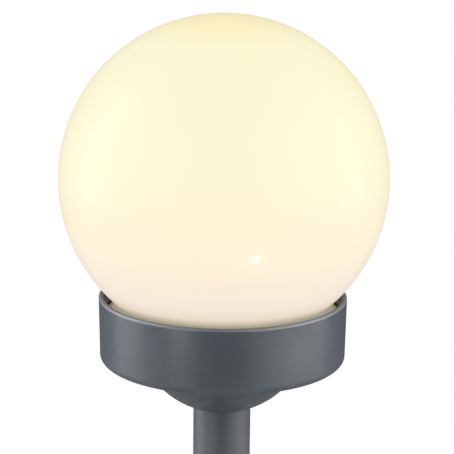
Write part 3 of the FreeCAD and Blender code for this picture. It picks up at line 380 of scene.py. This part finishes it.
def opal(setting):
    """Opal plastic lit from below: warm over most of the globe, with painted shade that darkens the glow
    towards the collar and a painted pale band at the step under the skirt.
    """
    finish = Finish("opal_plastic")
    height = finish.spread(finish.height(), 0.0, 1.0, GLOBE_LOW.z, GLOBE_HIGH.z)
    cloud = finish.noise(CLOUD_SIZE, FINE_DETAIL)
    glow = finish.ramp(height, [(at, tuple(getattr(setting, part))) for at, part in GLOW_AND_PAINTED_SHADE_STOPS])
    glow = finish.mix(finish.spread(cloud, 0.0, CLOUD_IN_GLOW), glow, setting.middle)
    finish.link(glow, finish.shader.inputs["Emission Color"])
    cloudy = lighter(setting.body, CLOUD_TONE)
    finish.colours(finish.mix(finish.spread(cloud, 0.0, CLOUD_IN_BODY), setting.body, cloudy))
    finish.worn(finish.noise(OPAL_PATCH), setting.polish, OPAL_WEAR)
    finish.bump(finish.noise(OPAL_GRAIN), MOULDED_RELIEF)
    finish.set(Coat_Weight=setting.coat, Coat_IOR=OPAL_COAT_INDEX, Coat_Roughness=OPAL_COAT_ROUGHNESS)
    return finish.set(Emission_Strength=setting.glow, IOR=OPAL_INDEX)


def moulded(name, shade, roughness, grain, index):
    """Satin moulded plastic: a fine eroded grain with faint flow marks and paler specks."""
    finish = Finish(name)
    flow = finish.noise(FLOW_SIZE, FINE_DETAIL)
    speck = finish.noise(grain * SPECK_SIZE)
    tone = finish.tones(finish.spread(flow, 0.0, 1.0, *FLOW_PART), shade, MOULDED_TONE)
    specks = finish.spread(speck, 0.0, SPECK_STRENGTH, *SPECK_PART)
    finish.colours(finish.mix(specks, tone, lighter(shade, SPECK_TONE)))
    finish.worn(flow, roughness, MOULDED_WEAR, FLOW_PART)
    finish.bump(finish.noise(grain, FINE_DETAIL, GRAIN_BREAKUP), MOULDED_RELIEF)
    return finish.set(IOR=index)


def coated(name, shade, roughness):
    """Powder-coated tube: a shallow orange peel and soft changes of tone."""
    finish = Finish(name)
    peel = finish.noise(PEEL_SIZE)
    patch = finish.noise(COATED_PATCH)
    finish.colours(finish.tones(patch, shade, COATED_TONE))
    finish.worn(patch, roughness, COATED_WEAR)
    finish.bump(peel, PEEL_RELIEF)
    return finish.set(IOR=POST_INDEX)


def plain(name, shade, roughness, grain=USUAL_GRAIN, **sockets):
    """A small part's finish: a fine grain with a little change of tone."""
    finish = Finish(name)
    patch = finish.noise(PLAIN_PATCH)
    finish.colours(finish.tones(patch, shade, PLAIN_TONE))
    finish.worn(patch, roughness, PLAIN_WEAR)
    finish.bump(finish.noise(grain), PLAIN_RELIEF)
    return finish.set(**sockets)


def small_parts(step):
    """Finishes the small parts of one step."""
    for name, shade, roughness, grain, sockets, nodes in SMALL_PARTS[step]:
        put_on(plain(name, shade, roughness, grain, **sockets), *nodes)


# ---------------------------------------------------------------- modelling helpers

# A face counts as looking up when the Z of its normal is above this
UPWARD = 0.9
SMOOTH_BELOW = math.radians(35)


def settings():
    return bpy.context.scene.globe_light


def nothing_selected():
    if bpy.context.object and bpy.context.object.mode != "OBJECT":
        bpy.ops.object.mode_set(mode="OBJECT")
    bpy.ops.object.select_all(action="DESELECT")


def named(name):
    made = bpy.context.active_object
    made.name = name
    made.data.name = name
    return made


def looks_up(face):
    return face.normal.z > UPWARD


def pick_faces(piece, chosen):
    """Selects the faces of a piece in edit mode that chosen accepts, and nothing else."""
    bpy.ops.mesh.select_all(action="DESELECT")
    bpy.ops.object.mode_set(mode="OBJECT")
    for face in piece.data.polygons:
        face.select = chosen(face)
    bpy.ops.object.mode_set(mode="EDIT")


def push_faces(rise):
    """Extrudes the selected faces upwards."""
    bpy.ops.mesh.extrude_region_move(TRANSFORM_OT_translate={"value": (0, 0, rise)})


def select(*pieces):
    """Selects these pieces and nothing else, and makes the first one active."""
    nothing_selected()
    for piece in pieces:
        piece.select_set(True)
    bpy.context.view_layer.objects.active = pieces[0]


def settled(piece):
    """Puts the piece's place into its mesh and leaves its object at the origin."""
    select(piece)
    bpy.ops.object.transform_apply(location=True, rotation=True, scale=True)
    return piece


def copied(piece, way, name):
    """A copy with a mesh of its own, moved some way."""
    select(piece)
    bpy.ops.object.duplicate()
    bpy.ops.transform.translate(value=way)
    return settled(named(name))


def joined(pieces, name):
    select(*pieces)
    if len(pieces) > 1:
        bpy.ops.object.join()
    return named(name)


def dressed(piece, finish, body):
    piece.data.materials.clear()
    piece.data.materials.append(finish.material)
    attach(piece, body)


# ---------------------------------------------------------------- pieces

class GLOBELIGHT_OT_globe(bpy.types.Operator):
    """Finish the opal globe"""
    bl_idname = "globelight.globe"
    bl_label = "Opal Globe"

    def execute(self, context):
        put_on(opal(settings().globe), "globe")
        return {"FINISHED"}


class GLOBELIGHT_OT_housing(bpy.types.Operator):
    """Finish the collar, the bowl and their screws and gaskets"""
    bl_idname = "globelight.housing"
    bl_label = "Collar and Bowl"

    def execute(self, context):
        setting = settings().housing
        finish = moulded("collar_plastic", setting.plastic, setting.satin, setting.grain, COLLAR_INDEX)
        self.rub_lip(finish, setting.lip)
        put_on(finish, "collar_cup", "socket_bowl")
        small_parts("housing")
        return {"FINISHED"}

    def rub_lip(self, finish, lip):
        """The lip is duller than the rest, where the globe rubs it."""
        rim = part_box("collar_cup")[1].z
        shine = finish.shader.inputs["Roughness"].links[0].from_socket
        rubbed = finish.spread(finish.height(), 0.0, lip, rim - LIP_START, rim - LIP_FULL)
        finish.roughness(finish.greater(shine, rubbed))


class GLOBELIGHT_OT_stake(bpy.types.Operator):
    """Finish the post and the ground spike"""
    bl_idname = "globelight.stake"
    bl_label = "Post and Spike"

    def execute(self, context):
        setting = settings().housing
        put_on(coated("post_coat", setting.post, setting.coat), "post_tube")
        rough, grain = setting.satin * SPIKE_ROUGHER, setting.grain * SPIKE_COARSER
        put_on(moulded("spike_plastic", setting.spike, rough, grain, PLASTIC_INDEX), "ground_spike")
        return {"FINISHED"}


class GLOBELIGHT_OT_seat(bpy.types.Operator):
    """Finish the seat and the white reflector"""
    bl_idname = "globelight.seat"
    bl_label = "Seat and Reflector"

    def execute(self, context):
        grain = settings().housing.grain
        put_on(moulded("seat_plastic", SEAT_PLASTIC, SEAT_ROUGHNESS, grain, PLASTIC_INDEX), "globe_seat")
        small_parts("seat")
        return {"FINISHED"}


# Printed fingers of a solar cell: their pitch, the part of the wave that is a line, and their roughness
FINGER_PITCH, FINGER_PART, FINGER_ROUGHNESS = 6.4 * MILLIMETRE, (0.93, 0.99), 0.35
# Crystals of a solar cell: their size and the tone of the brightest; then how rough the cell and its coat are
CRYSTAL_SIZE, CRYSTAL_TONE, CELL_ROUGHNESS, CELL_COAT_ROUGHNESS = 2.2 * MILLIMETRE, 2.2, 0.12, 0.04
# A strip: the inset of its top, half the width of its bus bar, the bar's height, and the share of the strip's
# length within which a face counts as its middle
STRIP_INSET, BUS_HALF, BUS_HEIGHT, NEAR_MIDDLE = 0.12 * MILLIMETRE, 0.3 * MILLIMETRE, 0.06 * MILLIMETRE, 0.2


class GLOBELIGHT_OT_cells(bpy.types.Operator):
    """Lay the strips of each solar panel and finish its resin"""
    bl_idname = "globelight.cells"
    bl_label = "Solar Cells"

    def execute(self, context):
        setting = settings().cells
        small_parts("cells")
        low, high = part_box("solar_panel_front")
        front = self.strips(setting, low, high, "solar_cells_front")
        rear = copied(front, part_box("solar_panel_rear")[0] - low, "solar_cells_rear")
        finish = self.cell_finish(setting)
        for cells in (front, rear):
            dressed(cells, finish, "head")
        return {"FINISHED"}

    def cell_finish(self, setting):
        """Blue cell with printed fingers across it and a sparkle of crystals."""
        finish = Finish("solar_cell")
        fingers = finish.add("ShaderNodeTexWave", wave_type="BANDS", bands_direction="Y")
        fingers.inputs["Scale"].default_value = 1 / FINGER_PITCH
        finish.link(finish.place, fingers.inputs["Vector"])
        line = finish.spread(fingers.outputs["Fac"], 0.0, 1.0, *FINGER_PART)
        crystal = finish.add("ShaderNodeTexVoronoi")
        crystal.inputs["Scale"].default_value = 1 / CRYSTAL_SIZE
        finish.link(finish.place, crystal.inputs["Vector"])
        sparkle = finish.spread(crystal.outputs["Color"], 0.0, 1.0)
        tone = finish.mix(sparkle, setting.cell, lighter(setting.cell, CRYSTAL_TONE))
        finish.colours(finish.mix(line, tone, setting.finger))
        finish.roughness(finish.spread(line, CELL_ROUGHNESS, FINGER_ROUGHNESS))
        finish.bump(line, PLAIN_RELIEF)
        return finish.set(Coat_Weight=1.0, Coat_Roughness=CELL_COAT_ROUGHNESS, IOR=GLOSSY_INDEX)

    def strips(self, setting, low, high, name):
        """Thin strips side by side, each a copy of the first one."""
        span = high.x - low.x - 2 * setting.border
        wide = (span - setting.gap * (setting.strips - 1)) / setting.strips
        deep = high.y - low.y - 2 * setting.border
        left = low.x + setting.border + wide / 2
        centre = Vector((left, (low.y + high.y) / 2, high.z + setting.thick / 2))
        first = self.strip(centre, (wide, deep, setting.thick), f"{name}_0")
        made = [first]
        for index in range(1, setting.strips):
            made.append(copied(first, (index * (wide + setting.gap), 0, 0), f"{name}_{index}"))
        return settled(joined(made, name))

    def strip(self, centre, size, name):
        """One strip with an inset top and a raised bus bar down its middle."""
        def on_the_bar(face):
            return (looks_up(face) and abs(face.center.x - centre.x) < BUS_HALF
                    and abs(face.center.y - centre.y) < size[1] * NEAR_MIDDLE)

        nothing_selected()
        bpy.ops.mesh.primitive_cube_add(size=1, location=centre, scale=size)
        strip = named(name)
        bpy.ops.object.transform_apply(location=True, rotation=True, scale=True)
        bpy.ops.object.mode_set(mode="EDIT")
        pick_faces(strip, looks_up)
        bpy.ops.mesh.inset(thickness=STRIP_INSET)
        bpy.ops.mesh.bisect(plane_co=(centre.x - BUS_HALF, 0, 0), plane_no=(1, 0, 0))
        pick_faces(strip, looks_up)
        bpy.ops.mesh.bisect(plane_co=(centre.x + BUS_HALF, 0, 0), plane_no=(1, 0, 0))
        pick_faces(strip, on_the_bar)
        push_faces(BUS_HEIGHT)
        bpy.ops.object.mode_set(mode="OBJECT")
        return strip


# Resin of a lamp: its clear and its deeper colour, its glow, its haze, and how clear it is
LAMP_CLEAR, LAMP_DEEP = (1.0, 0.93, 0.78), (0.98, 0.88, 0.70)
LAMP_GLOW, LAMP_STRENGTH = (1.0, 0.74, 0.38), 0.25
HAZE_SIZE, HAZE_ROUGHNESS, LAMP_CLEARNESS = 1.5 * MILLIMETRE, (0.03, 0.08), 0.9
# Cup in a lamp: its plating, and the radius, the length and the corners of its stem
CUP_PLATING, CUP_ROUGHNESS, CUP_GRAIN = (0.75, 0.73, 0.66), 0.2, 0.3 * MILLIMETRE
CUP_RADIUS, CUP_LENGTH, CUP_CORNERS = 0.5 * MILLIMETRE, 2.6 * MILLIMETRE, 24
# The dish on the stem: its rise, its lip and its hollow, and how much it widens and then narrows
DISH_RISE, DISH_LIP, DISH_HOLLOW = 0.7 * MILLIMETRE, 0.25 * MILLIMETRE, 0.5 * MILLIMETRE
DISH_WIDER, DISH_NARROWER = 2.2, 0.6


class GLOBELIGHT_OT_lamps(bpy.types.Operator):
    """Put the small cup into each lamp and finish the lamps"""
    bl_idname = "globelight.lamps"
    bl_label = "Lamps"

    def execute(self, context):
        put_on(self.resin(), "led_lamp_left", "led_lamp_centre", "led_lamp_right")
        small_parts("lamps")
        low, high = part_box("led_lamp_left")
        first = self.cup((low + high) / 2, low.z, "lamp_cup_left")
        made = [first]
        for place in ("centre", "right"):
            made.append(copied(first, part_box(f"led_lamp_{place}")[0] - low, f"lamp_cup_{place}"))
        plating = plain("lamp_cup", CUP_PLATING, CUP_ROUGHNESS, CUP_GRAIN, Metallic=1.0)
        for cup in made:
            dressed(cup, plating, "head")
        return {"FINISHED"}

    def resin(self):
        """Clear warm resin that glows a little."""
        finish = Finish("lamp_resin")
        haze = finish.noise(HAZE_SIZE)
        finish.colours(finish.mix(haze, LAMP_CLEAR, LAMP_DEEP))
        finish.roughness(finish.spread(haze, *HAZE_ROUGHNESS))
        finish.set(IOR=LAMP_INDEX, Transmission_Weight=LAMP_CLEARNESS)
        return finish.set(Emission_Color=LAMP_GLOW, Emission_Strength=LAMP_STRENGTH)

    def cup(self, middle, foot, name):
        """The plated frame inside the resin: a stem that widens into a dish."""
        nothing_selected()
        bpy.ops.mesh.primitive_cylinder_add(
            vertices=CUP_CORNERS, radius=CUP_RADIUS, depth=CUP_LENGTH,
            location=(middle.x, middle.y, foot + CUP_LENGTH))
        dish = named(name)
        bpy.ops.object.transform_apply(location=True, rotation=True, scale=True)
        bpy.ops.object.mode_set(mode="EDIT")
        pick_faces(dish, looks_up)
        push_faces(DISH_RISE)
        bpy.ops.transform.resize(value=(DISH_WIDER, DISH_WIDER, 1), center_override=middle)
        bpy.ops.mesh.inset(thickness=DISH_LIP)
        push_faces(-DISH_HOLLOW)
        bpy.ops.transform.resize(value=(DISH_NARROWER, DISH_NARROWER, 1), center_override=middle)
        bpy.ops.object.mode_set(mode="OBJECT")
        bpy.ops.object.shade_smooth_by_angle(angle=SMOOTH_BELOW)
        return settled(dish)


class GLOBELIGHT_OT_electrics(bpy.types.Operator):
    """Finish the board, the battery and the leads"""
    bl_idname = "globelight.electrics"
    bl_label = "Board, Battery and Leads"

    def execute(self, context):
        small_parts("electrics")
        return {"FINISHED"}


# ---------------------------------------------------------------- studio

class GLOBELIGHT_OT_stage(bpy.types.Operator):
    """Set up the floor, the cloth, the lights and the camera"""
    bl_idname = "globelight.stage"
    bl_label = "Studio"

    def execute(self, context):
        setting = settings().studio
        context.scene.view_settings.view_transform = "Standard"
        self.floor(setting)
        self.world(context.scene, setting)
        for name, azimuth, width, power in SOFT_LIGHTS:
            self.soft_light(name, azimuth, width, power * setting.level)
        self.small_lamp()
        self.cloth(setting)
        self.camera(context.scene, setting)
        return {"FINISHED"}

    def cloth(self, setting):
        """Cloth round the set that only reflections see, so that the dark plastic keeps its dark edges."""
        nothing_selected()
        bpy.ops.mesh.primitive_cylinder_add(
            vertices=CLOTH_CORNERS, radius=setting.cloth_radius, depth=setting.cloth_height,
            end_fill_type="NGON", location=(0, 0, SPIKE_TIP + setting.cloth_height / 2))
        cloth = settled(named("black_cloth"))
        finish = plain("black_cloth", CLOTH_BLACK, CLOTH_ROUGHNESS)
        height = finish.spread(
            finish.height(), 0.0, 1.0, SPIKE_TIP + CLOTH_GREY_END, SPIKE_TIP + CLOTH_BLACK_START)
        finish.colours(finish.ramp(height, ((0.0, (setting.foot_cloth,) * 3), (1.0, CLOTH_BLACK))))
        cloth.data.materials.append(finish.material)
        for ray in ("camera", "diffuse", "transmission", "volume_scatter", "shadow"):
            setattr(cloth, f"visible_{ray}", False)

    def floor(self, setting):
        """A pale floor under the spike's tip that fades out and that reflections don't see."""
        nothing_selected()
        bpy.ops.mesh.primitive_circle_add(
            vertices=FLOOR_CORNERS, radius=setting.floor_radius, fill_type="NGON",
            location=(0, 0, SPIKE_TIP - FLOOR_GAP))
        ground = settled(named("floor"))
        finish = Finish("floor_paper")
        patch = finish.noise(FLOOR_PATCH, FINE_DETAIL)
        finish.colours(finish.mix(patch, setting.floor, lighter(setting.floor, FLOOR_PATCH_TONE)))
        finish.set(Roughness=FLOOR_ROUGHNESS)
        reach = finish.add("ShaderNodeVectorMath", operation="LENGTH")
        finish.link(finish.place, reach.inputs[0])
        fade = finish.spread(
            reach.outputs["Value"], 1.0, 0.0, setting.floor_radius * FLOOR_FADE, setting.floor_radius)
        blend = finish.add("ShaderNodeMixShader")
        clear = finish.add("ShaderNodeBsdfTransparent")
        finish.link(fade, blend.inputs[0])
        finish.link(clear.outputs[0], blend.inputs[1])
        finish.link(finish.shader.outputs[0], blend.inputs[2])
        finish.link(blend.outputs[0], finish.output.inputs["Surface"])
        ground.data.materials.append(finish.material)
        ground.visible_glossy = False

    def world(self, scene, setting):
        """White to the camera and to glossy and transmission rays, and an even fill for the rest."""
        world = bpy.data.worlds.new("studio")
        scene.world = world
        world.use_nodes = True
        tree = world.node_tree
        back = tree.nodes["Background"]
        path = tree.nodes.new("ShaderNodeLightPath")
        seen = path.outputs["Is Camera Ray"]
        for name in ("Is Glossy Ray", "Is Transmission Ray"):
            either = tree.nodes.new("ShaderNodeMath")
            either.operation = "MAXIMUM"
            tree.links.new(seen, either.inputs[0])
            tree.links.new(path.outputs[name], either.inputs[1])
            seen = either.outputs[0]
        level = tree.nodes.new("ShaderNodeMapRange")
        level.inputs["To Min"].default_value = setting.fill
        level.inputs["To Max"].default_value = BACKGROUND_STRENGTH
        tree.links.new(seen, level.inputs["Value"])
        back.inputs["Color"].default_value = (1, 1, 1, 1)
        tree.links.new(level.outputs["Result"], back.inputs["Strength"])

    def lamp(self, name, way, distance, power):
        """An area lamp that stands some way from the globe's centre and faces it."""
        data = bpy.data.lights.new(name, "AREA")
        data.energy = power
        lamp = bpy.data.objects.new(name, data)
        lamp.location = Vector((0, 0, GLOBE_CENTRE)) + way * distance
        lamp.rotation_mode = "QUATERNION"
        lamp.rotation_quaternion = (-way).to_track_quat("-Z", "Y")
        bpy.context.scene.collection.objects.link(lamp)
        return lamp

    def soft_light(self, name, azimuth, width, power):
        """An upright soft light: azimuth 0 is in front and 90 to the right."""
        turn, rise = math.radians(azimuth), LIGHT_RISE
        way = Vector((math.sin(turn) * math.cos(rise), -math.cos(turn) * math.cos(rise), math.sin(rise)))
        light = self.lamp(name, way, LIGHT_DISTANCE, power)
        light.data.shape = "RECTANGLE"
        light.data.size = width
        light.data.size_y = LIGHT_HEIGHT

    def small_lamp(self):
        """A small lamp that shows only as a glint on the globe."""
        lamp = self.lamp("small_lamp", SMALL_LAMP_WAY, SMALL_LAMP_DISTANCE, SMALL_LAMP_POWER)
        lamp.data.shape = "DISK"
        lamp.data.size = SMALL_LAMP_SIZE
        lit = bpy.data.collections.new("lit_by_small_lamp")
        lit.objects.link(NODES["globe"])
        lamp.light_linking.receiver_collection = lit
        lamp.visible_diffuse = False

    def camera(self, scene, setting):
        """The camera stands in front and a little above, and is tilted as the photograph is."""
        back = Vector((0, -math.cos(setting.elevation), math.sin(setting.elevation)))
        right = Vector((1, 0, 0))
        up = right.cross(-back)
        look = (right * math.tan(setting.yaw) + up * math.tan(setting.pitch) - back).normalized()
        level = look.cross(Vector((0, 0, 1))).normalized()
        upright = level.cross(look)
        cos, sin = math.cos(setting.roll), math.sin(setting.roll)
        turn = Matrix((level * cos + upright * sin, upright * cos - level * sin, -look)).transposed()
        place = Vector((0, 0, GLOBE_CENTRE)) + back * setting.distance
        data = bpy.data.cameras.new("photo_camera")
        data.lens = setting.lens
        data.sensor_width = SENSOR_WIDTH
        camera = bpy.data.objects.new("photo_camera", data)
        camera.matrix_world = Matrix.Translation(place) @ turn.to_4x4()
        scene.collection.objects.link(camera)
        scene.camera = camera


# ---------------------------------------------------------------- registration

class GlobeLight(bpy.types.PropertyGroup):
    """All settings of the light."""
    globe: bpy.props.PointerProperty(type=GlobeFinish)
    housing: bpy.props.PointerProperty(type=HousingFinish)
    cells: bpy.props.PointerProperty(type=CellLayout)
    studio: bpy.props.PointerProperty(type=StudioSetting)


PIECES = (GLOBELIGHT_OT_globe, GLOBELIGHT_OT_housing, GLOBELIGHT_OT_stake, GLOBELIGHT_OT_seat,
          GLOBELIGHT_OT_cells, GLOBELIGHT_OT_lamps, GLOBELIGHT_OT_electrics, GLOBELIGHT_OT_stage)


class GLOBELIGHT_PT_panel(bpy.types.Panel):
    """Lists the steps that dress the light."""
    bl_label = "Globe Light"
    bl_space_type = "VIEW_3D"
    bl_region_type = "UI"
    bl_category = "Globe Light"

    def draw(self, context):
        for piece in PIECES:
            self.layout.operator(piece.bl_idname)
        for group in ("globe", "housing", "cells", "studio"):
            box = self.layout.box()
            setting = getattr(context.scene.globe_light, group)
            for name in setting.__annotations__:
                box.prop(setting, name)


CLASSES = (GlobeFinish, HousingFinish, CellLayout, StudioSetting, GlobeLight, *PIECES, GLOBELIGHT_PT_panel)


def register():
    for each in CLASSES:
        bpy.utils.register_class(each)
    bpy.types.Scene.globe_light = bpy.props.PointerProperty(type=GlobeLight)


def unregister():
    del bpy.types.Scene.globe_light
    for each in reversed(CLASSES):
        bpy.utils.unregister_class(each)


def main():
    register()
    for name in ("globe", "housing", "stake", "seat", "cells", "lamps", "electrics", "stage"):
        getattr(bpy.ops.globelight, name)()


if __name__ == "__main__":
    main()
